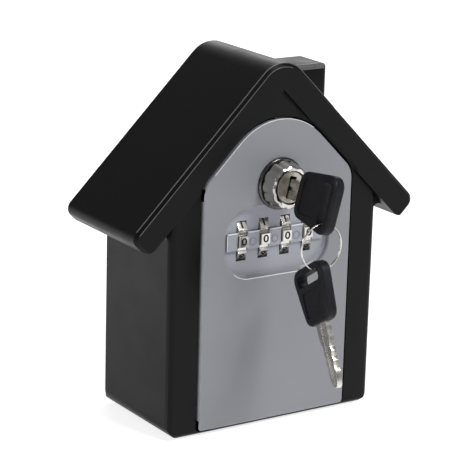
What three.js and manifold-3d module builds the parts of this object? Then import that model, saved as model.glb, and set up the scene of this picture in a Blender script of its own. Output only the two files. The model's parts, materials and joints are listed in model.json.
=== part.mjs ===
// Wall-mounted key lock box in the shape of a small house, with a four-dial combination knob lock,
// a key in the knob and a second key on a ring.
// Millimetres, +Z up, front faces -Y. Origin: centre of the flat base.
import * as THREE from 'three';
import { mergeVertices } from 'three/addons/utils/BufferGeometryUtils.js';
import Module from 'manifold-3d';

const wasm = await Module();
wasm.setup();

// ---------- driving dimensions ----------

// House body: walls and front posts.
const BODY = { half: 50, front: -25.3, back: 25.3, wall: 3, baseRadius: 6.5, postRadius: 3, toeRadius: 2.5 };
// Roof: 45 degree slopes, so a slope is a line |x| + z = constant.
const ROOF = {
  front: -27, back: 28.2, apex: 156.05, underside: 140.2, eaveLine: 17.7,
  ridgeRadius: 12.7, tipRadius: 3.9, lowerTipRadius: 4.5, chamfer: 1.4, flare: 1.9, filletRadius: 3,
};
const CAVITY = { front: -22.3, slope: 148, apexRadius: 6 };
const CHIMNEY = { left: 27, right: 46.5, front: 8.5, top: 140.5, radius: 2 };

const DOOR = {
  half: 36, bottom: 1.8, slope: 139.6, archRadius: 27.3, shoulderRadius: 10, footRadius: 1.5,
  face: -26.2, back: -23.7, gap: 0.9, edgeChamfer: 0.5,
};
const STILE = { width: 5, back: -22.4, bottom: 6.5, top: 98 };
const PIVOT = { x: -33.8, y: -25, radius: 0.5, eye: 0.85, room: 0.92, inDoor: 8, out: 2.4, play: 0.1 };

// Sunk field around the dials, with the windows and the raised band.
const FIELD = { half: 25.4, bottom: 63.5, top: 93.2, radius: 12, floor: -23.2, back: -21.7, slope: 1 };
const BAND = { half: 23.2, height: 7.2, face: -24.2 };
const DIAL = {
  z: 79, y: -14.2, radius: 11.5, groove: 10.3, width: 4.2, lands: 10, landHalfAngle: 11.5, pitch: 10.55,
  bore: 3.6,
};
const WINDOW = { width: 4.7, height: 16.7 };
const HUB = { radius: 5, neck: 3.4, bore: 1.65, width: 3, notchFront: 3.6, notch: 2.4, notchFloor: 2 };
const SHAFT = { radius: 1.5, half: 24.9 };

const HOUSING = { half: 25, bottom: 65.3, top: 92.4, front: -21.4, back: -1.5, wall: 1.4 };
const COVER = { half: 30, bottom: 64, top: 92.4, back: 0, corner: 2 };
const BOSS = { x: 27.6, low: 67.2, high: 89, radius: 2.1, hole: 1.3 };
const SCREW = { head: 2.3, headHeight: 1.4, shank: 1.15, length: 8 };

const LOCK = { z: 101.8, flangeRadius: 10.8, flangeFront: -27.6, tubeRadius: 8.2, tubeBack: -12, bore: 6.7 };
const KNOB = {
  radius: 8.8, taper: 1.13, flutes: 12, fluteDepth: 0.5, front: -34.8, back: -27.9, chamfer: 0.6,
  stem: 6.5, end: -10.5, faceBore: 6.95, faceDepth: 4.8, plugBore: 5.4, plugEnd: -12.3,
};
const PLUG = { front: -34.2, step: -30.3, head: 6.75, shaft: 5.2, end: -12.6 };
const KEYWAY = { width: 2.9, height: 9 };
const NUT = { flats: 9, front: -21.5, back: -17.5 };
const STOP = { half: 5, front: -10.4, back: -8.4 };
const CAM = { front: -8.3, back: -6.3, half: 5, tipHalf: 3.5, reach: 30.5 };
const STRIKE = { half: 8, front: -10.4, back: -8.9, bottom: 127, foot: 14 };
const SLIDE = { front: -10, back: -8.8, bottom: 92.7, top: 94.3, finger: 2, fingerEnd: 84.6 };

// Keys: u runs from the shoulder of the head (u = 0) to its far end, v across it.
const HEAD = { length: 23.6, nearHalf: 9.1, farHalf: 12.6, nearRadius: 4.5, farRadius: 4.8, thick: 4.6 };
const SLOT = { centre: 18.4, width: 4.6, half: 8.6, radius: 1.6 };
const BLADE = { length: 26.2, half: 4, thick: 2.3, tang: 8 };
// Depths of the cuts along both edges of a blade, and the outline of its point.
const BLADE_CUTS = {
  first: 6, last: 4.5, depths: [0, 0.5, 1.3, 0.6, 1.5, 0.8, 1.6, 1.1, 1.3],
  tips: [[2, 2.2], [0.6, 1.4], [0, 0.5]],
};
const BLADE_GROOVE = { low: -0.7, high: 0.9, depth: 0.5, start: 2 };
const HEAD_PANEL = { from: 3.2, to: 13.6, half: 7.2, radius: 1.6, depth: 0.35 };
const KEY_SHOULDER = -41.4;
// The key stands turned in the knob and droops by the play of the keyway, in degrees.
const KEY_REST = { turn: 13, droop: 1.9, pivot: -25 };
const RING = { radius: 9.4, wire: 0.5, x: -2.66, z: 84.05, inset: 1.2 };
// The hanging key leans with its tip forward and is turned a little about the vertical.
const HANGING = { tilt: 31, yaw: -5 };

const PLATE = {
  half: 48, bottom: 0.8, shoulder: 91, slope: 147.4, neck: 46.6, front: 25.3, back: 28.2, top: 141,
};
const PLATE_SCREW = { x: 43.8, low: 8, high: 84, head: 3, shank: 1.4, length: 11 };
const WALL_HOLE = { x: 26, low: 22, high: 104, radius: 2.4, sink: 4.6 };
const RAIL = { half: 24, bottom: 112, height: 7, front: 23.8 };
const HOOK = { pitch: 16, wire: 1.1, reach: 9, drop: 5 };
const RESET = { half: 4, height: 5, back: 2.4, slot: 6, stem: 1.4 };

const CLEAR = 0.3;
const SEAM = 0.1;
const TOLERANCE = 0.003;
const FINE = 24;
const COARSE = 16;

// ---------- solids ----------

// Closed geometry -> solid that can be cut and joined.
function solid(geometry) {
  const bare = geometry.clone();
  bare.deleteAttribute('normal');
  bare.deleteAttribute('uv');
  const merged = mergeVertices(bare, 1e-4);
  return new wasm.Manifold(new wasm.Mesh({
    numProp: 3,
    vertProperties: new Float32Array(merged.attributes.position.array),
    triVerts: new Uint32Array(merged.index.array),
  }));
}

function join(first, ...others) {
  return others.reduce((sum, other) => sum.add(other), first);
}

function cut(first, ...others) {
  return others.reduce((rest, other) => rest.subtract(other), first);
}

// Solid -> geometry, with points closer than the tolerance made one.
function toGeometry(body) {
  const { vertProperties, triVerts } = body.simplify(TOLERANCE).getMesh();
  const raw = new THREE.BufferGeometry();
  raw.setAttribute('position', new THREE.BufferAttribute(vertProperties, 3));
  raw.setIndex(new THREE.BufferAttribute(triVerts, 1));
  const geometry = mergeVertices(raw, TOLERANCE);
  const corners = [...geometry.index.array];
  geometry.setIndex(corners.filter((corner, place) => {
    const first = place - place % 3;
    return new Set(corners.slice(first, first + 3)).size === 3;
  }));
  geometry.computeVertexNormals();
  return geometry;
}

// Outline through corners [x, y, radius], each corner rounded by its own radius.
function roundedShape(corners, segments = 8) {
  return new THREE.Shape(corners.flatMap(([x, y, radius = 0], index) => {
    const [px, py] = corners.at(index - 1);
    const [nx, ny] = corners[(index + 1) % corners.length];
    const corner = new THREE.Vector2(x, y);
    if (radius === 0) return [corner];
    const before = new THREE.Vector2(px - x, py - y).normalize();
    const after = new THREE.Vector2(nx - x, ny - y).normalize();
    const half = before.angleTo(after) / 2;
    const start = before.clone().multiplyScalar(radius / Math.tan(half)).add(corner);
    const end = after.clone().multiplyScalar(radius / Math.tan(half)).add(corner);
    const centre = before.clone().add(after).setLength(radius / Math.sin(half)).add(corner);
    const [from, to] = [start, end].map((point) => point.sub(centre).angle());
    const arc = new THREE.EllipseCurve(centre.x, centre.y, radius, radius, from, to, before.cross(after) > 0);
    return arc.getPoints(segments);
  }));
}

function rectangle(x0, y0, x1, y1, radius = 0, segments = 4) {
  return roundedShape([[x0, y0, radius], [x1, y0, radius], [x1, y1, radius], [x0, y1, radius]], segments);
}

function mirrored(corners) {
  const left = corners.filter(([x]) => x !== 0).map(([x, ...rest]) => [-x, ...rest]).reverse();
  return [...corners, ...left];
}

// Outline in X and Z, pushed along Y from front to back.
function prismXZ(shape, front, back, options = {}) {
  const geometry = new THREE.ExtrudeGeometry(shape, {
    depth: back - front, bevelEnabled: false, curveSegments: 4, ...options,
  });
  return solid(geometry.rotateX(Math.PI / 2).translate(0, back, 0));
}

// Outline in X and Z whose edge is chamfered at both ends of the push along Y.
function chamferedXZ(shape, front, back, chamfer, options = {}) {
  const bevel = {
    bevelEnabled: true, bevelSegments: 1, bevelSize: chamfer, bevelOffset: -chamfer, bevelThickness: chamfer,
  };
  return prismXZ(shape, front + chamfer, back - chamfer, { ...bevel, ...options });
}

// Outline in X and Y, pushed along Z.
function prismXY(shape, bottom, top, options = {}) {
  const geometry = new THREE.ExtrudeGeometry(shape, {
    depth: top - bottom, bevelEnabled: false, curveSegments: 4, ...options,
  });
  return solid(geometry.translate(0, 0, bottom));
}

// Outline in Y and Z, pushed along X.
function prismYZ(shape, left, right, options = {}) {
  const geometry = new THREE.ExtrudeGeometry(shape, {
    depth: right - left, bevelEnabled: false, curveSegments: 4, ...options,
  });
  const turn = new THREE.Matrix4().makeBasis(
    new THREE.Vector3(0, 1, 0), new THREE.Vector3(0, 0, 1), new THREE.Vector3(1, 0, 0),
  );
  return solid(geometry.applyMatrix4(turn).translate(left, 0, 0));
}

function box(x0, y0, z0, x1, y1, z1) {
  const geometry = new THREE.BoxGeometry(x1 - x0, y1 - y0, z1 - z0);
  return solid(geometry.translate((x0 + x1) / 2, (y0 + y1) / 2, (z0 + z1) / 2));
}

function cylinderX(radius, left, right, y, z, segments = COARSE) {
  const geometry = new THREE.CylinderGeometry(radius, radius, right - left, segments).rotateZ(Math.PI / 2);
  return solid(geometry.translate((left + right) / 2, y, z));
}

function cylinderY(radius, front, back, x, z, segments = COARSE) {
  const geometry = new THREE.CylinderGeometry(radius, radius, back - front, segments);
  return solid(geometry.translate(x, (front + back) / 2, z));
}

function cylinderZ(radius, bottom, top, x, y, segments = COARSE) {
  const geometry = new THREE.CylinderGeometry(radius, radius, top - bottom, segments).rotateX(Math.PI / 2);
  return solid(geometry.translate(x, y, (bottom + top) / 2));
}

// Turned piece along Y: profile points are [radius, y].
function turnedY(profile, x, z, segments = COARSE) {
  const points = profile.map(([radius, y]) => new THREE.Vector2(radius, y));
  if (THREE.ShapeUtils.area(points) < 0) points.reverse();
  return solid(new THREE.LatheGeometry(points, segments).translate(x, 0, z));
}

// ---------- materials ----------

const shades = {
  black: [0x1b1b1d, 0.42, 0.0], grey: [0x8b8d93, 0.45, 0.55], chrome: [0xd8d9dc, 0.12, 1.0],
  nickel: [0xb9b6ae, 0.25, 1.0], steel: [0x9da0a4, 0.35, 1.0], zinc: [0x7d7a74, 0.45, 0.9],
  keyPlastic: [0x222226, 0.5, 0.0], innerPlastic: [0x2a2b2e, 0.6, 0.0],
};

function mesh(name, body, shade) {
  const [color, roughness, metalness] = shades[shade];
  const material = new THREE.MeshStandardMaterial({ color, roughness, metalness });
  const piece = new THREE.Mesh(toGeometry(body), material);
  piece.name = name;
  return piece;
}

// ---------- house ----------

// Door outline, grown outwards by a margin.
function doorOutline(margin) {
  const half = DOOR.half + margin;
  const slope = DOOR.slope + margin * Math.SQRT2;
  return roundedShape(mirrored([
    [half, DOOR.bottom - Math.min(margin, 0.5), DOOR.footRadius + margin],
    [half, slope - half, DOOR.shoulderRadius + margin],
    [0, slope, DOOR.archRadius + margin],
  ]));
}

function eaveCorner(slope) {
  return [(slope + -ROOF.eaveLine) / 2, (slope + ROOF.eaveLine) / 2];
}

function roofSolid() {
  const upper = [...eaveCorner(ROOF.apex), ROOF.tipRadius];
  const lower = [...eaveCorner(ROOF.underside), ROOF.lowerTipRadius];
  const slab = roundedShape([
    lower, upper, [0, ROOF.apex, ROOF.ridgeRadius],
    ...[upper, lower].map(([x, ...rest]) => [-x, ...rest]), [0, ROOF.underside],
  ]);
  const low = 40;
  const envelope = roundedShape(mirrored([
    [low - ROOF.eaveLine, low], upper, [0, ROOF.apex, ROOF.ridgeRadius],
  ]));
  const roof = prismXZ(slab, ROOF.front, ROOF.back);
  return roof.intersect(chamferedXZ(envelope, ROOF.front, ROOF.back, ROOF.chamfer));
}

// Concave fillets where the side walls meet the underside of the eaves.
function eaveFillets() {
  const reach = ROOF.filletRadius / Math.tan(Math.PI / 8);
  const top = ROOF.underside - BODY.half;
  return [1, -1].map((side) => {
    const shape = new THREE.Shape();
    shape.moveTo(side * (BODY.half - 1), top + 2);
    shape.lineTo(side * (BODY.half - 1), top - reach);
    shape.lineTo(side * BODY.half, top - reach);
    const centre = BODY.half + ROOF.filletRadius;
    const [from, to] = side > 0 ? [Math.PI, Math.PI / 4] : [0, 3 * Math.PI / 4];
    shape.absarc(side * centre, top - reach, ROOF.filletRadius, from, to, side > 0);
    shape.lineTo(side * (BODY.half + reach), top - reach + 2);
    return prismXZ(shape, BODY.front + BODY.postRadius, BODY.back);
  });
}

function houseShell() {
  const { half, front, back, wall } = BODY;
  const slope = (ROOF.apex + ROOF.underside) / 2;
  const outside = prismXZ(
    roundedShape(mirrored([[half, 0, BODY.baseRadius], [half, slope - half], [0, slope]])), front, back,
  );
  const plan = prismXY(
    roundedShape([
      [half, back], [-half, back], [-half, front, BODY.postRadius], [half, front, BODY.postRadius],
    ]),
    -1, ROOF.apex,
  );
  const side = prismYZ(
    roundedShape([[front, 0, BODY.toeRadius], [back, 0], [back, ROOF.apex], [front, ROOF.apex]]),
    -half - 1, half + 1,
  );
  const cavity = prismXZ(roundedShape(mirrored([
    [half - wall, wall], [half - wall, CAVITY.slope - half + wall], [0, CAVITY.slope, CAVITY.apexRadius],
  ])), CAVITY.front, ROOF.back + 1);
  const doorway = prismXZ(doorOutline(DOOR.gap), ROOF.front - 1, CAVITY.front + 1);
  const flare = chamferedXZ(
    doorOutline(DOOR.gap + ROOF.flare), ROOF.front - 3, ROOF.front + ROOF.flare, ROOF.flare + 0.2,
  );
  const bosses = screwPlaces(PLATE_SCREW.x, PLATE_SCREW.low, PLATE_SCREW.high)
    .map(([x, z]) => cylinderY(3.5, 12, back, x, z));
  const holes = screwPlaces(PLATE_SCREW.x, PLATE_SCREW.low, PLATE_SCREW.high)
    .map(([x, z]) => cylinderY(PLATE_SCREW.shank + 0.1, 13, back + 1, x, z, 12));
  const solidHouse = join(outside.intersect(plan).intersect(side), roofSolid(), ...eaveFillets());
  const shell = join(cut(solidHouse, cavity), ...bosses);
  const lugs = [false, true].map(pivotLug);
  return cut(join(cut(shell, doorway, flare), ...lugs), ...holes, pivotSocket(false), pivotSocket(true));
}

// From and to, measured outwards from the lower or the upper end of the door's stile, as heights.
function pivotSpan(upper, from, to) {
  return upper ? [STILE.top + from, STILE.top + to] : [STILE.bottom - to, STILE.bottom - from];
}

// Lug inside the left post that carries one pivot: an eye, and an arm behind the swing of the door's edge.
function pivotLug(upper) {
  const { x, y, radius, eye } = PIVOT;
  const [low, high] = pivotSpan(upper, 0.6, 4.6);
  const right = x + 2.5;
  const rear = CAVITY.front + 1.5;
  return join(
    cylinderZ(eye, low, high, x, y),
    box(x, y - eye, low, right, y + 0.1, high),
    box(x - radius, y, low, right, rear, high),
    box(x - 5, CAVITY.front + 0.1, low, right, rear, high),
    box(x - 5, CAVITY.front - 0.2, low, x - 2.65, rear, high),
  );
}

// Hole the pivot turns in.
function pivotSocket(upper) {
  const { x, y, radius, out, play } = PIVOT;
  const [low, high] = pivotSpan(upper, 0, out + 0.2);
  return cylinderZ(radius + play, low, high, x, y, 12);
}

function screwPlaces(x, low, high) {
  return [[-x, low], [x, low], [-x, high], [x, high]];
}

// Filled gable under the outer faces of the roof, grown by a margin.
function gable(margin) {
  const slope = ROOF.apex + margin * Math.SQRT2;
  const low = 60;
  return prismXZ(roundedShape(mirrored([
    [slope - low, low], [0, slope, ROOF.ridgeRadius + margin],
  ])), ROOF.front, ROOF.back + 1);
}

function chimney() {
  const { left, right, front, top, radius } = CHIMNEY;
  const low = ROOF.apex - right - 10;
  const bevel = radius * 0.8;
  const block = new THREE.ExtrudeGeometry(rectangle(left, front, right, ROOF.back, radius), {
    depth: top - low - 2 * bevel, bevelSegments: 3,
    bevelSize: bevel, bevelOffset: -bevel, bevelThickness: bevel,
  });
  return cut(solid(block.translate(0, 0, low + bevel)), gable(SEAM));
}

function backPlate() {
  const { half, bottom, shoulder, slope, neck, front, back, top } = PLATE;
  const plate = prismXZ(roundedShape(mirrored([
    [half, bottom, 2], [half, shoulder], [neck, shoulder + 1.2], [neck, slope - neck], [slope - top, top],
  ])), front, back);
  const screwHoles = screwPlaces(PLATE_SCREW.x, PLATE_SCREW.low, PLATE_SCREW.high).map(([x, z]) => turnedY([
    [0, front - 1], [PLATE_SCREW.shank + 0.3, front - 1], [PLATE_SCREW.shank + 0.3, back - 1.9],
    [PLATE_SCREW.head + 0.3, back - 0.2], [PLATE_SCREW.head + 0.3, back + 1], [0, back + 1],
  ], x, z));
  const wallHoles = screwPlaces(WALL_HOLE.x, WALL_HOLE.low, WALL_HOLE.high).map(([x, z]) => turnedY([
    [0, front - 1], [WALL_HOLE.sink, front - 1], [WALL_HOLE.sink, front + 0.2], [WALL_HOLE.radius, front + 2],
    [WALL_HOLE.radius, back + 1], [0, back + 1],
  ], x, z));
  return cut(plate, ...screwHoles, ...wallHoles);
}

// Countersunk screw, head to the rear.
function plateScrew(x, z) {
  const { head, shank, length } = PLATE_SCREW;
  const back = PLATE.back - 0.15;
  const body = turnedY([
    [0, back], [head, back], [head, back - 0.2], [shank, back - 1.9], [shank, back - length + 1],
    [0.3, back - length], [0, back - length],
  ], x, z);
  return cut(body, crossRecess(x, back - 1.2, back + 1, z));
}

function crossRecess(x, front, back, z) {
  return join(
    box(x - 1.4, front, z - 0.3, x + 1.4, back, z + 0.3),
    box(x - 0.3, front, z - 1.4, x + 0.3, back, z + 1.4),
  );
}

function strikePlate() {
  const { half, front, back, bottom, foot } = STRIKE;
  const ceiling = CAVITY.slope - half - SEAM;
  return join(
    box(-half, front, bottom, half, back, ceiling),
    box(-half, front, ceiling - 1.5, half, front + foot, ceiling),
  );
}

function hookRail() {
  const { half, bottom, height, front } = RAIL;
  const rail = box(-half, front, bottom, half, PLATE.front - CLEAR / 2, bottom + height);
  const holes = hookPlaces()
    .map((x) => cylinderY(HOOK.wire + 0.15, front - 1, PLATE.front + 1, x, railMiddle(), 10));
  return cut(rail, ...holes);
}

function hookPlaces() {
  return [-HOOK.pitch, 0, HOOK.pitch];
}

function railMiddle() {
  return RAIL.bottom + RAIL.height / 2;
}

// Wire hook: straight out of the rail, then a half turn up.
function keyHook(x) {
  const z = railMiddle();
  const { reach, drop, wire } = HOOK;
  const path = new THREE.CatmullRomCurve3([
    [RAIL.front + 1.2, z], [RAIL.front - 2, z], [RAIL.front - reach + 3, z - 1.5],
    [RAIL.front - reach, z + 1], [RAIL.front - reach + 0.5, z + drop],
  ].map(([y, height]) => new THREE.Vector3(x, y, height)));
  const section = new THREE.Shape().absarc(0, 0, wire, 0, 2 * Math.PI);
  return solid(new THREE.ExtrudeGeometry(section, { steps: 10, extrudePath: path, curveSegments: 4 }));
}

// ---------- door ----------

function fieldOutline(grow) {
  const { half, bottom, top, radius } = FIELD;
  return rectangle(-half - grow, bottom - grow, half + grow, top + grow, radius + grow, 8);
}

function dialPlaces() {
  return [-1.5, -0.5, 0.5, 1.5].map((step) => step * DIAL.pitch);
}

function doorPanel() {
  const { face, back, edgeChamfer } = DOOR;
  const leaf = chamferedXZ(doorOutline(0), face, back, edgeChamfer);
  const stile = box(
    -DOOR.half + 0.6, back - 0.2, STILE.bottom, -DOOR.half + STILE.width, STILE.back, STILE.top,
  );
  const pan = prismXZ(fieldOutline(FIELD.slope), face + 1, FIELD.back);
  const hollow = chamferedXZ(fieldOutline(0), face - 3, FIELD.floor, FIELD.slope);
  const mouth = chamferedXZ(fieldOutline(0.5), face - 3, face + 0.5, 0.6);
  const band = box(
    -BAND.half, BAND.face, DIAL.z - BAND.height / 2, BAND.half, FIELD.floor + CLEAR, DIAL.z + BAND.height / 2,
  );
  const bosses = screwPlaces(BOSS.x, BOSS.low, BOSS.high)
    .map(([x, z]) => cylinderY(BOSS.radius, back - 0.2, HOUSING.back - CLEAR, x, z));
  const bossHoles = screwPlaces(BOSS.x, BOSS.low, BOSS.high)
    .map(([x, z]) => cylinderY(BOSS.hole, HOUSING.back - SCREW.length, 0, x, z, 12));
  const windows = dialPlaces().map((x) => box(
    x - WINDOW.width / 2, face - 1, DIAL.z - WINDOW.height / 2,
    x + WINDOW.width / 2, FIELD.back + 1, DIAL.z + WINDOW.height / 2,
  ));
  const wheelRoom = dialPlaces().map((x) => cylinderX(
    DIAL.radius + CLEAR, x - WINDOW.width / 2, x + WINDOW.width / 2, DIAL.y, DIAL.z, FINE,
  ));
  const lockHole = cylinderY(LOCK.tubeRadius + 0.15, face - 1, FIELD.back + 1, 0, LOCK.z, FINE);
  const seat = cylinderY(12.2, back - 0.2, FIELD.back, 0, LOCK.z, FINE);
  const pinHoles = [false, true].map((upper) => (
    cylinderZ(PIVOT.radius + 0.02, ...pivotSpan(upper, -PIVOT.inDoor, 1), PIVOT.x, PIVOT.y, 12)
  ));
  const lugRoom = [false, true].map((upper) => {
    const [low, high] = pivotSpan(upper, 0.2, 5.2);
    return box(PIVOT.x - 6, PIVOT.y - PIVOT.room, low, PIVOT.x + 3.2, back + 3, high);
  });
  const plain = cut(join(leaf, stile, pan, seat), hollow, mouth);
  return cut(
    join(plain, band, ...bosses), ...windows, ...wheelRoom, ...bossHoles, lockHole, ...pinHoles, ...lugRoom,
  );
}

function hingePivot(upper) {
  const { x, y, radius, inDoor, out } = PIVOT;
  return cylinderZ(radius, ...pivotSpan(upper, 0.2 - inDoor, out), x, y, 12);
}

function dialHousing() {
  const { half, bottom, top, front, back, wall } = HOUSING;
  const outer = box(-half, front, bottom, half, back - CLEAR, top);
  const inner = box(-half + wall, front - 1, bottom + wall, half - wall, back + 1, top - wall);
  const fingers = fingerPlaces().map((x) => box(
    x - 1.4, SLIDE.front - 0.4, top - wall - 1, x + 1.4, SLIDE.back + 0.4, top + 1,
  ));
  const shaftHole = cylinderX(SHAFT.radius + 0.03, -half - 1, half + 1, DIAL.y, DIAL.z);
  return cut(outer, inner, shaftHole, ...fingers);
}

function innerCover() {
  const { half, bottom, top, back, corner } = COVER;
  const plate = prismXZ(rectangle(-half, bottom, half, top, corner), HOUSING.back, back);
  const holes = screwPlaces(BOSS.x, BOSS.low, BOSS.high)
    .map(([x, z]) => cylinderY(SCREW.shank + 0.2, HOUSING.back - 1, back + 1, x, z, 12));
  const slot = box(-RESET.slot, HOUSING.back - 1, DIAL.z - 1.7, RESET.slot, back + 1, DIAL.z + 1.7);
  return cut(plate, slot, ...holes);
}

// Pan-head screw, head to the rear.
function coverScrew(x, z) {
  const { head, headHeight, shank, length } = SCREW;
  const seat = COVER.back + CLEAR / 2;
  const body = turnedY([
    [0, seat + headHeight], [head * 0.7, seat + headHeight], [head, seat + headHeight * 0.5], [head, seat],
    [shank, seat], [shank, seat - length], [0, seat - length - 0.8],
  ], x, z);
  return cut(body, crossRecess(x, seat + 0.5, seat + 3, z));
}

function resetLever() {
  const { half, height, back, stem } = RESET;
  const tab = box(-half, COVER.back + CLEAR, DIAL.z - height / 2, half, back, DIAL.z + height / 2);
  const grip = [-2, 0, 2].map((x) => box(x - 0.4, back - 0.2, DIAL.z - 2, x + 0.4, back + 0.5, DIAL.z + 2));
  return join(tab, ...grip, box(-stem, HOUSING.back, DIAL.z - stem, stem, back, DIAL.z + stem));
}

// ---------- dials ----------

function dialWheel(centre) {
  const { lands, landHalfAngle, radius, groove, width, bore } = DIAL;
  const shape = new THREE.Shape();
  const edge = THREE.MathUtils.degToRad(landHalfAngle);
  const step = 2 * Math.PI / lands;
  for (let land = 0; land < lands; land += 1) {
    const middle = Math.PI + land * step;
    [[groove, -edge - 0.05], [radius, -edge], [radius, edge], [groove, edge + 0.05]].forEach(([r, turn], i) => {
      const place = [r * Math.cos(middle + turn), r * Math.sin(middle + turn)];
      if (land === 0 && i === 0) shape.moveTo(...place);
      else shape.lineTo(...place);
    });
  }
  const wheel = prismYZ(shape, centre - width / 2, centre + width / 2).translate([0, DIAL.y, DIAL.z]);
  return cut(wheel, cylinderX(bore, centre - width, centre + width, DIAL.y, DIAL.z));
}

function hubStart(centre) {
  return centre + DIAL.width / 2 + 0.1;
}

function fingerPlaces() {
  return dialPlaces().map((x) => hubStart(x) + HUB.width / 2);
}

// Hub inside the wheel, with the notch that the slide's finger drops into.
function dialHub(centre) {
  const start = hubStart(centre);
  const body = join(
    cylinderX(HUB.neck, centre - DIAL.width / 2, start + 0.5, DIAL.y, DIAL.z),
    cylinderX(HUB.radius, start, start + HUB.width, DIAL.y, DIAL.z),
  );
  const front = DIAL.y + HUB.notchFront;
  const notch = box(
    start - SEAM, front, DIAL.z + HUB.notchFloor,
    start + HUB.width + 1, front + HUB.notch, DIAL.z + HUB.radius + 1,
  );
  return cut(body, notch, cylinderX(HUB.bore, centre - DIAL.pitch, centre + DIAL.pitch, DIAL.y, DIAL.z));
}

function dialShaft() {
  return cylinderX(SHAFT.radius, -SHAFT.half, SHAFT.half, DIAL.y, DIAL.z);
}

function detentLeaf() {
  const y = HOUSING.back - 0.75;
  return box(-HOUSING.half + 2, y, DIAL.z + 4, HOUSING.half - 2, y + 0.4, DIAL.z + 10);
}

function blockingSlide() {
  const { front, back, bottom, top, finger, fingerEnd } = SLIDE;
  const [first, last] = [fingerPlaces()[0], fingerPlaces().at(-1)];
  const bar = box(first - finger / 2, front, bottom, last + finger / 2, back, top);
  const fingers = fingerPlaces().map((x) => box(
    x - finger / 2, front, fingerEnd, x + finger / 2, back, bottom + 0.5,
  ));
  return join(bar, ...fingers);
}

// ---------- knob lock ----------

function lockBody() {
  const { flangeRadius, flangeFront, tubeRadius, tubeBack, bore, z } = LOCK;
  return turnedY([
    [bore, flangeFront], [flangeRadius - 0.5, flangeFront], [flangeRadius, flangeFront + 0.5],
    [flangeRadius, DOOR.face - 0.05], [tubeRadius, DOOR.face - 0.05], [tubeRadius, tubeBack], [bore, tubeBack],
    [bore, flangeFront],
  ], 0, z, FINE);
}

function lockNut() {
  const { flats, front, back } = NUT;
  const corner = flats / Math.cos(Math.PI / 6);
  const shape = new THREE.Shape();
  for (let side = 0; side < 6; side += 1) {
    const angle = side * Math.PI / 3;
    const place = [corner * Math.cos(angle), LOCK.z + corner * Math.sin(angle)];
    if (side === 0) shape.moveTo(...place);
    else shape.lineTo(...place);
  }
  const hole = cylinderY(LOCK.tubeRadius + 0.15, front - 1, back + 1, 0, LOCK.z, FINE);
  return cut(prismXZ(shape, front, back), hole);
}

// Fluted grip, wider at its foot, about the Y axis.
function knobGrip() {
  const { radius, taper, flutes, fluteDepth, front, back, chamfer } = KNOB;
  const steps = flutes * 6;
  const outline = Array.from({ length: steps }, (_, step) => {
    const angle = 2 * Math.PI * step / steps;
    const wave = Math.abs(Math.cos(flutes * angle / 2));
    return new THREE.Vector2(radius - fluteDepth * (1 - wave), 0).rotateAround(new THREE.Vector2(), angle);
  });
  const grip = new THREE.ExtrudeGeometry(new THREE.Shape(outline), {
    depth: back - front - 2 * chamfer, bevelSegments: 1,
    bevelSize: chamfer, bevelOffset: -chamfer, bevelThickness: chamfer,
  }).rotateX(Math.PI / 2).translate(0, back - chamfer, 0);
  const places = grip.attributes.position;
  for (let index = 0; index < places.count; index += 1) {
    const grow = THREE.MathUtils.mapLinear(places.getY(index), front, back, 1, taper);
    places.setXYZ(index, places.getX(index) * grow, places.getY(index), places.getZ(index) * grow);
  }
  return solid(grip.translate(0, 0, LOCK.z));
}

// Grip with its stem; the plug turns inside.
function knob() {
  const { front, back, stem, end, faceBore, faceDepth } = KNOB;
  const rod = cylinderY(stem, back - 1, end, 0, LOCK.z, FINE);
  const face = cylinderY(faceBore, front - 1, front + faceDepth, 0, LOCK.z, FINE);
  const bore = cylinderY(KNOB.plugBore, front, KNOB.plugEnd, 0, LOCK.z, FINE);
  const screwHole = cylinderY(1.6, KNOB.plugEnd - 1, end + 1, 0, LOCK.z, 12);
  return cut(join(knobGrip(), rod), face, bore, screwHole);
}

function lockPlug() {
  const { front, step, head, shaft, end } = PLUG;
  const body = turnedY([
    [0, front], [head - 0.4, front], [head, front + 0.4], [head, step], [shaft, step], [shaft, end], [0, end],
  ], 0, 0, FINE);
  const { width, height } = KEYWAY;
  return cut(body, box(-width / 2, front - 1, -height / 2, width / 2, end - 0.6, height / 2));
}

function stopPlate() {
  const { half, front, back } = STOP;
  const plate = box(-half, front, LOCK.z - half, half, back, LOCK.z + half);
  return cut(plate, cylinderY(1.6, front - 1, back + 1, 0, LOCK.z, 12));
}

// Cam, pointing to the side when the lock is open.
function cam() {
  const { front, back, half, tipHalf, reach } = CAM;
  const shape = roundedShape([
    [-half, LOCK.z - half, 3], [half, LOCK.z - half, 3],
    [reach, LOCK.z - tipHalf, 2], [reach, LOCK.z + tipHalf, 2],
    [half, LOCK.z + half, 3], [-half, LOCK.z + half, 3],
  ]);
  return cut(prismXZ(shape, front, back), cylinderY(1.6, front - 1, back + 1, 0, LOCK.z, 12));
}

function camScrew() {
  const seat = CAM.back + 0.1;
  const body = turnedY([
    [0, seat + 1.6], [2.2, seat + 1.6], [3, seat + 0.8], [3, seat], [1.5, seat], [1.5, KNOB.plugEnd + 0.1],
    [0, KNOB.plugEnd + 0.1],
  ], 0, LOCK.z);
  return cut(body, crossRecess(0, seat + 0.7, seat + 3, LOCK.z));
}

// ---------- keys ----------

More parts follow.
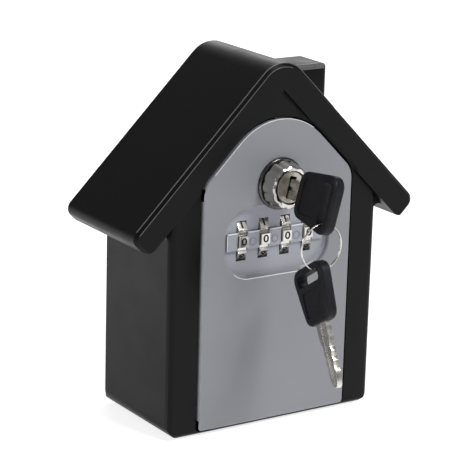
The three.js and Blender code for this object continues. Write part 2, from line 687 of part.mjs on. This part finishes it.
// Plastic head of a key, flat in its own u and v with u along the key.
function keyHead() {
  const { length, nearHalf, farHalf, nearRadius, farRadius, thick } = HEAD;
  const outline = roundedShape([
    [0, -nearHalf, nearRadius], [length, -farHalf, farRadius],
    [length, farHalf, farRadius], [0, nearHalf, nearRadius],
  ], 5);
  const soft = 0.8;
  const body = solid(new THREE.ExtrudeGeometry(outline, {
    depth: thick - 2 * soft, bevelSegments: 2,
    bevelSize: soft, bevelOffset: -soft, bevelThickness: soft,
  }).translate(0, 0, -thick / 2 + soft));
  const { centre, width, half, radius } = SLOT;
  const slot = prismXY(rectangle(centre - width / 2, -half, centre + width / 2, half, radius), -thick, thick);
  const gap = 0.05;
  const tang = box(
    -1, -BLADE.half - gap, -BLADE.thick / 2 - gap, BLADE.tang + gap, BLADE.half + gap, BLADE.thick / 2 + gap,
  );
  const panels = [-thick, thick / 2 - HEAD_PANEL.depth].map((low) => prismXY(
    rectangle(HEAD_PANEL.from, -HEAD_PANEL.half, HEAD_PANEL.to, HEAD_PANEL.half, HEAD_PANEL.radius),
    low, low + thick / 2 + HEAD_PANEL.depth,
  ));
  return cut(body, slot, tang, ...panels);
}

// Blade with a cut edge on both sides and a milled groove.
function keyBlade() {
  const { length, half, thick, tang } = BLADE;
  const shape = new THREE.Shape();
  shape.moveTo(tang, half);
  const { first, last, depths, tips } = BLADE_CUTS;
  const pitch = (length - first - last) / (depths.length - 1);
  const edge = depths.map((depth, index) => [-first - index * pitch, half - depth]);
  edge.push(...tips.map(([back, v]) => [back - length, v]));
  edge.forEach(([u, v]) => shape.lineTo(u, v));
  edge.reverse().forEach(([u, v]) => shape.lineTo(u, -v));
  shape.lineTo(tang, -half);
  const { low, high, depth, start } = BLADE_GROOVE;
  const groove = box(-length - 1, low, thick / 2 - depth, -start, high, thick);
  return cut(prismXY(shape, -thick / 2, thick / 2), groove);
}

function keyRing() {
  const { radius, wire } = RING;
  return solid(new THREE.TorusGeometry(radius, wire, 6, 28).rotateX(Math.PI / 2));
}

// Key whose head end points along -Y and whose width is upright.
function keyGroup(number) {
  const group = new THREE.Group();
  group.add(mesh(`key_${number}_head`, keyHead(), 'keyPlastic'));
  group.add(mesh(`key_${number}_blade`, keyBlade(), 'nickel'));
  group.children.forEach((piece) => {
    const geometry = piece.geometry;
    geometry.applyMatrix4(new THREE.Matrix4().makeBasis(
      new THREE.Vector3(0, -1, 0), new THREE.Vector3(0, 0, 1), new THREE.Vector3(-1, 0, 0),
    ));
  });
  return group;
}

// ---------- assembly ----------

function houseGroup() {
  const group = new THREE.Group();
  group.add(mesh('house_shell', houseShell(), 'black'));
  group.add(mesh('chimney', chimney(), 'black'));
  group.add(mesh('back_plate', backPlate(), 'innerPlastic'));
  screwPlaces(PLATE_SCREW.x, PLATE_SCREW.low, PLATE_SCREW.high).forEach(([x, z], index) => {
    group.add(mesh(`back_plate_screw_${index + 1}`, plateScrew(x, z), 'steel'));
  });
  group.add(mesh('strike_plate', strikePlate(), 'steel'));
  group.add(mesh('hook_rail', hookRail(), 'steel'));
  hookPlaces().forEach((x, index) => group.add(mesh(`key_hook_${index + 1}`, keyHook(x), 'steel')));
  return group;
}

function doorGroup() {
  const group = new THREE.Group();
  group.add(mesh('door_panel', doorPanel(), 'grey'));
  group.add(mesh('hinge_pivot_lower', hingePivot(false), 'steel'));
  group.add(mesh('hinge_pivot_upper', hingePivot(true), 'steel'));
  group.add(mesh('dial_housing', dialHousing(), 'innerPlastic'));
  group.add(mesh('inner_cover', innerCover(), 'innerPlastic'));
  screwPlaces(BOSS.x, BOSS.low, BOSS.high).forEach(([x, z], index) => {
    group.add(mesh(`cover_screw_${index + 1}`, coverScrew(x, z), 'steel'));
  });
  group.add(mesh('code_reset_lever', resetLever(), 'black'));
  dialPlaces().forEach((x, index) => {
    group.add(mesh(`dial_wheel_${index + 1}`, dialWheel(x), 'chrome'));
    group.add(mesh(`dial_hub_${index + 1}`, dialHub(x), 'steel'));
  });
  group.add(mesh('dial_shaft', dialShaft(), 'steel'));
  group.add(mesh('detent_leaf', detentLeaf(), 'steel'));
  group.add(mesh('blocking_slide', blockingSlide(), 'steel'));
  return group;
}

function lockGroup() {
  const group = new THREE.Group();
  group.add(mesh('lock_body', lockBody(), 'zinc'));
  group.add(mesh('lock_nut', lockNut(), 'nickel'));
  group.add(mesh('lock_knob', knob(), 'chrome'));
  group.add(mesh('stop_plate', stopPlate(), 'steel'));
  group.add(mesh('cam', cam(), 'steel'));
  group.add(mesh('cam_screw', camScrew(), 'steel'));
  return group;
}

// Plug and key, turned together about the lock's axis.
function pluggedKey() {
  const group = new THREE.Group();
  group.position.z = LOCK.z;
  group.rotation.y = THREE.MathUtils.degToRad(KEY_REST.turn);
  const key = keyGroup(1);
  key.rotation.x = THREE.MathUtils.degToRad(KEY_REST.droop);
  key.position.set(0, KEY_SHOULDER - KEY_REST.pivot, 0).applyEuler(key.rotation);
  key.position.y += KEY_REST.pivot;
  group.add(mesh('lock_plug', lockPlug(), 'zinc'), key);
  return group;
}

// Ring through the slot of the first key, and the second key hanging from it.
function hangingKey() {
  const group = new THREE.Group();
  group.position.set(RING.x, KEY_SHOULDER - SLOT.centre, RING.z);
  const ring = mesh('key_ring', keyRing(), 'nickel');
  const key = keyGroup(2);
  const hook = new THREE.Vector3(0, -SLOT.centre - SLOT.width / 2 + RING.inset, -SLOT.half + RING.inset);
  const { degToRad } = THREE.MathUtils;
  const swing = new THREE.Euler(-Math.PI / 2 - degToRad(HANGING.tilt), 0, degToRad(HANGING.yaw), 'ZYX');
  key.rotation.copy(swing);
  key.position.copy(hook.applyEuler(swing)).multiplyScalar(-1);
  key.position.z -= RING.radius;
  group.add(ring, key);
  return group;
}

const keyLockBox = new THREE.Group();
keyLockBox.name = 'key_lock_box';
keyLockBox.add(houseGroup(), doorGroup(), lockGroup(), pluggedKey(), hangingKey());

export default keyLockBox;
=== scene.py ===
import json
import math

import bmesh
import bpy
from mathutils import Matrix, Vector

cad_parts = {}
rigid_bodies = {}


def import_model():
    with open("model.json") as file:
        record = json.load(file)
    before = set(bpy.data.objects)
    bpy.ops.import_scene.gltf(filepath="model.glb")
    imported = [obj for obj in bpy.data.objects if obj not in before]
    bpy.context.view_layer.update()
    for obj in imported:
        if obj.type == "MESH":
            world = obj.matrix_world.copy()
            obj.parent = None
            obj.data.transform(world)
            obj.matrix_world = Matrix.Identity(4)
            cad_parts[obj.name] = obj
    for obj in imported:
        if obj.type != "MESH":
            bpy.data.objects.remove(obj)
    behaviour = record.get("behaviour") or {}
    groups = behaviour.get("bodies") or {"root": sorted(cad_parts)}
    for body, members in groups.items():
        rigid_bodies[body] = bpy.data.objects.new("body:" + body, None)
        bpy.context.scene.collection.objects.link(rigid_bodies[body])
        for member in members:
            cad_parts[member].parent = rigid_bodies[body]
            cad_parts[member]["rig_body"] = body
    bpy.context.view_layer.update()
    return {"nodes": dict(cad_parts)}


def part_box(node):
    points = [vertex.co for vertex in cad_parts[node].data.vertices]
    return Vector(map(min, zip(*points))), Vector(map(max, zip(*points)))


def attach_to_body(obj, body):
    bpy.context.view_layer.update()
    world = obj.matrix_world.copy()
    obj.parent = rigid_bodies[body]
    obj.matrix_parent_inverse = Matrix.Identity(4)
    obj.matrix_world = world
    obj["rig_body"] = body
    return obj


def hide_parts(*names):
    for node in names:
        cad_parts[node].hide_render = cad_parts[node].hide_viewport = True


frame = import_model()
NODES = frame["nodes"]
MM = 0.001

# Places on the door and house, in millimetres.
WINDOW_HALF = 2.35
BAND_HALF, BAND_FACE, BAND_LOW, BAND_HIGH = 23.2, -24.2, 75.4, 82.6
FIELD_LOW, FIELD_HIGH = (-24.9, -25.1, 64), (24.9, -22, 92.7)
ARC_STEP = 5


# ---------- materials ----------

class Nodes:
    """One material's node tree, with short calls for the nodes it uses."""

    def __init__(self, name, color, rough, metallic=0.0, specular=0.5):
        self.material = bpy.data.materials.new(name)
        self.material.use_nodes = True
        self.tree = self.material.node_tree
        self.shader = self.tree.nodes["Principled BSDF"]
        self.shader.inputs["Base Color"].default_value = (*color, 1)
        self.shader.inputs["Roughness"].default_value = rough
        self.shader.inputs["Metallic"].default_value = metallic
        self.shader.inputs["Specular IOR Level"].default_value = specular
        self.place = self.add("ShaderNodeTexCoord").outputs["Object"]

    def add(self, kind, **settings):
        node = self.tree.nodes.new(kind)
        for key, value in settings.items():
            setattr(node, key, value)
        return node

    def link(self, start, end):
        self.tree.links.new(start, end)

    def stretched(self, scale):
        mapping = self.add("ShaderNodeMapping")
        mapping.inputs["Scale"].default_value = scale
        self.link(self.place, mapping.inputs["Vector"])
        return mapping.outputs["Vector"]

    def noise(self, scale, detail=4.0, vector=None):
        node = self.add("ShaderNodeTexNoise")
        node.inputs["Scale"].default_value = scale
        node.inputs["Detail"].default_value = detail
        self.link(vector or self.place, node.inputs["Vector"])
        return node.outputs["Fac"]

    def spread(self, value, low, high, start=0.3, end=0.7):
        node = self.add("ShaderNodeMapRange")
        limits = {"From Min": start, "From Max": end, "To Min": low, "To Max": high}
        for key, number in limits.items():
            node.inputs[key].default_value = number
        self.link(value, node.inputs["Value"])
        return node.outputs["Result"]

    def blend(self, share, first, second):
        node = self.add("ShaderNodeMix", data_type="RGBA")
        self.link(share, node.inputs["Factor"])
        for socket, value in ((node.inputs["A"], first), (node.inputs["B"], second)):
            if isinstance(value, tuple):
                socket.default_value = (*value, 1)
            else:
                self.link(value, socket)
        return node.outputs["Result"]

    def bump(self, height, distance, strength=1.0):
        node = self.add("ShaderNodeBump")
        node.inputs["Distance"].default_value = distance
        node.inputs["Strength"].default_value = strength
        self.link(height, node.inputs["Height"])
        self.link(node.outputs["Normal"], self.shader.inputs["Normal"])

    def edge(self, radius):
        """1 on sharp edges, 0 on flat areas."""
        rounded = self.add("ShaderNodeBevel", samples=4)
        rounded.inputs["Radius"].default_value = radius
        geometry = self.add("ShaderNodeNewGeometry")
        dot = self.add("ShaderNodeVectorMath", operation="DOT_PRODUCT")
        self.link(rounded.outputs["Normal"], dot.inputs[0])
        self.link(geometry.outputs["Normal"], dot.inputs[1])
        return self.spread(dot.outputs["Value"], 1.0, 0.0, 0.9, 0.995)

    def product(self, a, b):
        node = self.add("ShaderNodeMath", operation="MULTIPLY")
        self.link(a, node.inputs[0])
        self.link(b, node.inputs[1])
        return node.outputs["Value"]


def paint(name, color, worn_and_highlit, rough, grain, grain_depth, wear_and_highlight, specular):
    """Sprayed or powder-coated metal: fine orange peel, faint cloudiness, edges lighter in patches, partly
    scuffed paint and partly a painted highlight.
    """
    n = Nodes(name, color, rough, specular=specular)
    cloud = n.spread(n.noise(18), 0.0, 1.0, 0.25, 0.75)
    lighter = tuple(c * 1.12 + 0.001 for c in color)
    tone = n.blend(cloud, color, lighter)
    # Sharp edges lightened in random patches: scuffed paint, and also a painted highlight of the light
    # lines that edges show.
    rubbed_and_highlit = n.product(n.edge(0.0006), n.spread(n.noise(240, 6), 0.0, wear_and_highlight, 0.42, 0.62))
    n.link(n.blend(rubbed_and_highlit, tone, worn_and_highlit), n.shader.inputs["Base Color"])
    n.link(n.spread(n.noise(90), rough - 0.04, rough + 0.05), n.shader.inputs["Roughness"])
    n.bump(n.noise(grain, 2), grain_depth)
    return n.material


def metal(name, color, dark, rough, scratch=(400, 30, 400), depth=0.00001):
    """Plated or cast metal: directional scratches and dull patches."""
    n = Nodes(name, color, rough, 1.0)
    patch = n.spread(n.noise(160, 6), 0.0, 1.0, 0.35, 0.7)
    n.link(n.blend(patch, color, dark), n.shader.inputs["Base Color"])
    n.link(n.spread(n.noise(300, 5), rough * 0.7, rough * 1.5), n.shader.inputs["Roughness"])
    n.bump(n.noise(4, 6, n.stretched(scratch)), depth, 0.5)
    return n.material


def plastic(name, color, light, rough, grain, depth):
    """Moulded plastic with a spark-eroded grain."""
    n = Nodes(name, color, rough, specular=0.15)
    n.link(n.blend(n.spread(n.noise(120, 5), 0.0, 1.0), color, light), n.shader.inputs["Base Color"])
    n.link(n.spread(n.noise(500, 2), rough - 0.06, rough + 0.08), n.shader.inputs["Roughness"])
    n.bump(n.noise(grain, 3), depth)
    return n.material


BLACK = paint(
    "black_paint", (0.0026, 0.0026, 0.0028),
    worn_and_highlit=(0.03, 0.03, 0.03), rough=0.36, grain=900, grain_depth=0.00002, wear_and_highlight=0.3, specular=0.12,
)
GREY = paint(
    "grey_paint", (0.202, 0.206, 0.224),
    worn_and_highlit=(0.5, 0.5, 0.52), rough=0.4, grain=1400, grain_depth=0.000012, wear_and_highlight=0.4, specular=0.3,
)
# Painted light: a lighter copy of the grey paint for the sunk field, and light paints for strips along
# edges that are painted highlights.
FIELD = paint(
    "field_painted_light", (0.28, 0.287, 0.325),
    worn_and_highlit=(0.5, 0.5, 0.52), rough=0.35, grain=1400, grain_depth=0.000012, wear_and_highlight=0.4, specular=0.35,
)
# Painted highlight paints, grey and black, for the light strips laid along edges.
HIGHLIGHT_GREY = paint(
    "grey_painted_highlight", (0.62, 0.62, 0.65),
    worn_and_highlit=(0.8, 0.8, 0.8), rough=0.3, grain=1400, grain_depth=0.000012, wear_and_highlight=0.4, specular=0.5,
)
HIGHLIGHT_BLACK = paint(
    "black_painted_highlight", (0.085, 0.085, 0.086),
    worn_and_highlit=(0.14, 0.14, 0.14), rough=0.3, grain=900, grain_depth=0.00001, wear_and_highlight=0.4, specular=0.4,
)
CHROME = metal("chrome", (0.6, 0.585, 0.56), dark=(0.38, 0.365, 0.34), rough=0.14, depth=0.000004)
DARK_CHROME = metal("dark_chrome", (0.1, 0.095, 0.09), dark=(0.05, 0.047, 0.045), rough=0.2, depth=0.000004)
WHEEL = metal("wheel_chrome", (0.68, 0.665, 0.64), dark=(0.45, 0.43, 0.4), rough=0.2, depth=0.000004)
ZINC = metal(
    "cast_zinc", (0.5, 0.47, 0.43),
    dark=(0.2, 0.18, 0.15), rough=0.36, scratch=(700, 700, 700), depth=0.00009,
)
STEEL = metal("plated_steel", (0.55, 0.56, 0.58), dark=(0.4, 0.4, 0.42), rough=0.3)
NICKEL = metal(
    "nickel", (0.68, 0.66, 0.62),
    dark=(0.48, 0.46, 0.43), rough=0.24, scratch=(300, 900, 40), depth=0.000012,
)
KEY_BLACK = plastic(
    "key_plastic", (0.006, 0.006, 0.0078),
    light=(0.011, 0.011, 0.013), rough=0.46, grain=2600, depth=0.00003,
)
INNER = plastic(
    "inner_plastic", (0.018, 0.018, 0.02),
    light=(0.026, 0.026, 0.028), rough=0.55, grain=1800, depth=0.00003,
)
INK = plastic(
    "ink", (0.006, 0.006, 0.006),
    light=(0.012, 0.012, 0.012), rough=0.5, grain=3000, depth=0.000005,
)


# ---------- meshes ----------

def new_object(name, mesh, material):
    obj = bpy.data.objects.new(name, mesh)
    bpy.context.scene.collection.objects.link(obj)
    mesh.materials.clear()
    mesh.materials.append(material)
    return obj


def attach(obj, node, replaces=True):
    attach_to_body(obj, NODES[node]["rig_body"])
    if replaces:
        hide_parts(node)
    return obj


def clean(node):
    """The node's own surface as a mesh of whole flat faces."""
    bm = bmesh.new()
    bm.from_mesh(NODES[node].data)
    bmesh.ops.remove_doubles(bm, verts=bm.verts, dist=0.002 * MM)
    bmesh.ops.dissolve_limit(bm, angle_limit=math.radians(0.4), verts=bm.verts, edges=bm.edges)
    return bm


def to_mesh(bm, name, smooth=35):
    mesh = bpy.data.meshes.new(name)
    for face in bm.faces:
        face.smooth = True
    bm.to_mesh(mesh)
    bm.free()
    mesh.set_sharp_from_angle(angle=math.radians(smooth))
    return mesh


def soften(obj, width, segments=3, angle=35):
    bevel = obj.modifiers.new("edges", "BEVEL")
    bevel.width = width * MM
    bevel.segments = segments
    bevel.limit_method = "ANGLE"
    bevel.angle_limit = math.radians(angle)
    bevel.use_clamp_overlap = True
    bevel.miter_outer = "MITER_ARC"
    bevel.harden_normals = True
    return obj


def refine(node, material, width=0.25, segments=2, angle=35):
    """The node's surface with its sharp edges rounded."""
    obj = new_object(node + "_skin", to_mesh(clean(node), node + "_skin", angle), material)
    if width:
        soften(obj, width, segments, angle)
    return attach(obj, node)


def tube(name, points, radius, material, cyclic=False):
    """Round wire along the points, as a mesh."""
    curve = bpy.data.curves.new(name, "CURVE")
    curve.dimensions = "3D"
    curve.bevel_depth = radius * MM
    curve.bevel_resolution = 3
    curve.use_fill_caps = True
    spline = curve.splines.new("POLY")
    spline.points.add(len(points) - 1)
    for point, place in zip(spline.points, points):
        point.co = (*place, 1)
    spline.use_cyclic_u = cyclic
    mesh = mesh_of(curve)
    for face in mesh.polygons:
        face.use_smooth = True
    return new_object(name, mesh, material)


def mesh_of(curve):
    """The curve's or text's surface as a mesh; the curve itself is removed."""
    temporary = bpy.data.objects.new(curve.name, curve)
    bpy.context.scene.collection.objects.link(temporary)
    bpy.context.view_layer.update()
    evaluated = temporary.evaluated_get(bpy.context.evaluated_depsgraph_get())
    mesh = bpy.data.meshes.new_from_object(evaluated)
    bpy.data.objects.remove(temporary)
    bpy.data.curves.remove(curve)
    return mesh


# ---------- house ----------

refine("house_shell", BLACK, 0.7, 3)
refine("chimney", BLACK, 0.5, 3)
refine("back_plate", BLACK, 0.3)
for number in range(1, 5):
    refine(f"back_plate_screw_{number}", STEEL, 0.08)
refine("strike_plate", STEEL, 0.2)
refine("hook_rail", STEEL, 0.3)
for number in range(1, 4):
    refine(f"key_hook_{number}", STEEL, 0.15)

# ---------- door ----------

door = refine("door_panel", GREY, 0.3, 3)
# Forward faces inside the sunk field get the lighter grey: painted light, the field drawn lighter than the
# door around it.
door.data.materials.append(FIELD)
for face in door.data.polygons:
    middle = face.center / MM
    inside = all(low < value < high for low, value, high in zip(FIELD_LOW, middle, FIELD_HIGH))
    if inside and face.normal.y < -0.5:
        face.material_index = 1
for part in ("hinge_pivot_lower", "hinge_pivot_upper", "dial_shaft", "detent_leaf", "lock_nut"):
    refine(part, STEEL, 0.1)
refine("dial_housing", INNER, 0.25)
refine("inner_cover", INNER, 0.3)
for number in range(1, 5):
    refine(f"cover_screw_{number}", STEEL, 0.12)
refine("code_reset_lever", INNER, 0.2)
refine("blocking_slide", STEEL, 0.12)


# ---------- dials ----------

def digit_mesh(digit):
    """One upright digit, widened, facing +Z."""
    size, thick, bold, widen = 4.3 * MM, 0.03 * MM, 0.1 * MM, 1.25
    curve = bpy.data.curves.new("digit", "FONT")
    curve.body = str(digit)
    curve.size = size
    curve.extrude = thick
    curve.offset = bold
    curve.align_x = "CENTER"
    curve.align_y = "CENTER"
    mesh = mesh_of(curve)
    mesh.transform(Matrix.Diagonal((widen, 1, 1, 1)))
    return mesh


def digits_on(wheel, name):
    """Digits 0 to 9 on the wheel's lands, 0 in the middle of the window and 1 above it.

    Returns the wheel's centre in millimetres.
    """
    low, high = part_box(wheel)
    centre = (low + high) / 2
    to_axis = Matrix.Translation(centre)
    to_land = Matrix.Translation((0, (low.y - high.y) / 2 - 0.02 * MM, 0))
    stand = Matrix.Rotation(math.radians(90), 4, "X")
    bm = bmesh.new()
    for digit in range(10):
        mesh = digit_mesh(digit)
        turn = Matrix.Rotation(math.radians(-36 * digit), 4, "X")
        mesh.transform(to_axis @ turn @ to_land @ stand)
        bm.from_mesh(mesh)
        bpy.data.meshes.remove(mesh)
    mesh = bpy.data.meshes.new(name)
    bm.to_mesh(mesh)
    bm.free()
    attach(new_object(name, mesh, INK), wheel, replaces=False)
    return centre / MM


dial_centres = []
for number in range(1, 5):
    refine(f"dial_wheel_{number}", WHEEL, 0.18, 3, 25)
    refine(f"dial_hub_{number}", ZINC, 0.15)
    dial_centres.append(digits_on(f"dial_wheel_{number}", f"dial_digits_{number}"))


# ---------- painted highlights: light strips along edges ---

def edge_line(name, points, radius, material, node):
    """Thin strip of lighter paint along an edge: a painted highlight, standing for the light line the edge
    shows.
    """
    attach(tube(name, [Vector(point) * MM for point in points], radius, material), node, replaces=False)


# Painted highlights on the top of the band between the windows, and on its left end.
strip_y = BAND_FACE + 0.05
starts = [-BAND_HALF] + [centre.x + WINDOW_HALF for centre in dial_centres]
ends = [centre.x - WINDOW_HALF for centre in dial_centres] + [BAND_HALF]
for number, (start, end) in enumerate(zip(starts, ends), 1):
    points = [(start + 0.3, strip_y, BAND_HIGH - 0.05), (end - 0.05, strip_y, BAND_HIGH - 0.05)]
    edge_line(f"band_highlight_{number}", points, 0.28, HIGHLIGHT_GREY, "door_panel")
band_end_highlight = [(0.1 - BAND_HALF, strip_y, BAND_LOW + 0.5), (0.1 - BAND_HALF, strip_y, BAND_HIGH - 0.5)]
edge_line("band_end_highlight", band_end_highlight, 0.18, HIGHLIGHT_GREY, "door_panel")

# Painted highlight on the lower lip of the field, up into both corners.
CORNER_X, CORNER_Z, LIP_ACROSS, LIP_DOWN, LIP_Y = 13.4, 75.5, 11.6, 12.1, -25.95
lip = [
    (math.copysign(CORNER_X, angle) + LIP_ACROSS * math.sin(math.radians(angle)), LIP_Y,
     CORNER_Z - LIP_DOWN * math.cos(math.radians(angle)))
    for angle in range(-40, 41, ARC_STEP)
]
edge_line("field_lip_highlight", lip, 0.22, HIGHLIGHT_GREY, "door_panel")


def gable_path(slope, radius, start, end, y):
    """Points along |x| + z = slope with a rounded apex, from x = start to x = end."""
    centre = slope - radius * math.sqrt(2)
    points = [(start, y, slope - abs(start))]
    for angle in range(-45, 46, ARC_STEP):
        x = radius * math.sin(math.radians(angle))
        if x < end:
            points.append((x, y, centre + radius * math.cos(math.radians(angle))))
    if end > radius / math.sqrt(2):
        points.append((end, y, slope - end))
    return points


# Painted highlights on the front chamfer of the roof, the arch of the door and the top of the chimney.
roof_outer = gable_path(slope=155.95, radius=12.63, start=-66.2, end=25.5, y=-25.62)
roof_inner = gable_path(slope=153.98, radius=11.24, start=-65.6, end=4, y=-26.93)
door_arch = gable_path(slope=139.3, radius=27.1, start=-31, end=16, y=-26.08)
chimney_top = [(28.6, 10.05, 138.95), (44.9, 10.05, 138.95)]
edge_line("roof_highlight_outer", roof_outer, 0.2, HIGHLIGHT_BLACK, "house_shell")
edge_line("roof_highlight_inner", roof_inner, 0.15, HIGHLIGHT_BLACK, "house_shell")
edge_line("door_arch_highlight", door_arch, 0.16, HIGHLIGHT_GREY, "door_panel")
edge_line("chimney_highlight", chimney_top, 1.7, HIGHLIGHT_BLACK, "chimney")

# Index rings on the band, to the right of the first three windows.
RING_STEPS, RING_RADIUS, RING_RIGHT, RING_DOWN = 32, 1.5, 5.2, 0.6
for number, centre in enumerate(dial_centres[:3], 1):
    points = []
    for step in range(RING_STEPS):
        angle = math.tau * step / RING_STEPS
        x = centre.x + RING_RIGHT + RING_RADIUS * math.cos(angle)
        points.append(Vector((x, BAND_FACE, centre.z - RING_DOWN + RING_RADIUS * math.sin(angle))) * MM)
    ring = tube(f"index_ring_{number}", points, 0.24, GREY, cyclic=True)
    attach(ring, "door_panel", replaces=False)

# ---------- knob lock ----------

refine("lock_body", DARK_CHROME, 0.25, 3)
refine("lock_knob", CHROME, 0.3, 3, 30)
refine("lock_plug", ZINC, 0.2, 2)
for part in ("stop_plate", "cam", "cam_screw"):
    refine(part, STEEL, 0.15)

# ---------- keys ----------

for number in (1, 2):
    refine(f"key_{number}_head", KEY_BLACK, 0.35, 3, 25)
    refine(f"key_{number}_blade", NICKEL, 0.12, 2)

# Split ring: just over two turns of wire side by side, in place of the plain ring.
TURNS, HELIX_STEPS, HELIX_START, HELIX_DEPTH = 2.1, 200, 200, 0.66
PLAIN_WIRE, HELIX_WIRE = 0.5, 0.27
low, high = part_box("key_ring")
centre = (low + high) / 2
ring_radius = (high.x - low.x) / 2 - PLAIN_WIRE * MM
helix = []
for step in range(HELIX_STEPS + 1):
    share = step / HELIX_STEPS
    angle = math.radians(HELIX_START) + math.tau * TURNS * share
    offset = Vector((
        ring_radius * math.cos(angle), (share - 0.5) * HELIX_DEPTH * MM, ring_radius * math.sin(angle),
    ))
    helix.append(centre + offset)
attach(tube("split_ring", helix, HELIX_WIRE, NICKEL), "key_ring")

# ---------- floor, light, camera ----------

FLOOR_HALF, FLOOR_Z = 30, -0.0005
floor_material = Nodes("floor", (0.55, 0.55, 0.55), 0.6)
floor_material.bump(floor_material.noise(30), 0.0002)
floor_material.shader.inputs["Emission Color"].default_value = (1, 1, 1, 1)
floor_material.shader.inputs["Emission Strength"].default_value = 0.78
floor_mesh = bpy.data.meshes.new("floor")
corners = [(-1, -1), (1, -1), (1, 1), (-1, 1)]
floor_mesh.from_pydata([(x * FLOOR_HALF, y * FLOOR_HALF, FLOOR_Z) for x, y in corners], [], [range(4)])
floor = new_object("floor", floor_mesh, floor_material.material)

world = bpy.data.worlds.new("studio")
world.use_nodes = True
world.node_tree.nodes["Background"].inputs["Color"].default_value = (1, 1, 1, 1)
world.node_tree.nodes["Background"].inputs["Strength"].default_value = 0.25
bpy.context.scene.world = world


def area_light(name, place, aim_height, size, power):
    light = bpy.data.lights.new(name, "AREA")
    light.shape = "RECTANGLE"
    light.size, light.size_y = size
    light.energy = power
    obj = bpy.data.objects.new(name, light)
    bpy.context.scene.collection.objects.link(obj)
    obj.location = place
    aim = Vector((0, 0, aim_height)) - Vector(place)
    obj.rotation_euler = aim.to_track_quat("-Z", "Y").to_euler()


area_light("key", place=(0.5, -1.2, 1.7), aim_height=0.08, size=(0.7, 0.7), power=34)
area_light("side", place=(-1.5, 0.1, 0.7), aim_height=0.08, size=(0.9, 0.6), power=7)
area_light("rear", place=(1.1, 1.7, 0.75), aim_height=0.14, size=(1.6, 0.6), power=8)

AZIMUTH, ELEVATION, ROLL = (math.radians(angle) for angle in (-33.58, 15.85, 1.63))
TARGET_Z, DISTANCE, SHIFT_X, SHIFT_Y = 70, 873.2, -3.63, 4.2
LENS, SENSOR = 162.43571, 36
level = math.cos(ELEVATION)
back = Vector((math.sin(AZIMUTH) * level, -math.cos(AZIMUTH) * level, math.sin(ELEVATION)))
right = Vector((math.cos(AZIMUTH), math.sin(AZIMUTH), 0))
up = back.cross(right)
row_x = right * math.cos(ROLL) + up * math.sin(ROLL)
row_y = up * math.cos(ROLL) - right * math.sin(ROLL)
camera_data = bpy.data.cameras.new("camera")
camera_data.sensor_width = SENSOR
camera_data.lens = LENS
camera_data.clip_start, camera_data.clip_end = 0.05, 100
camera = bpy.data.objects.new("camera", camera_data)
bpy.context.scene.collection.objects.link(camera)
place = (Vector((0, 0, TARGET_Z)) + back * DISTANCE + row_x * SHIFT_X + row_y * SHIFT_Y) * MM
camera.matrix_world = Matrix.Translation(place) @ Matrix((row_x, row_y, back)).transposed().to_4x4()
bpy.context.scene.camera = camera
bpy.context.scene.view_settings.view_transform = "Standard"
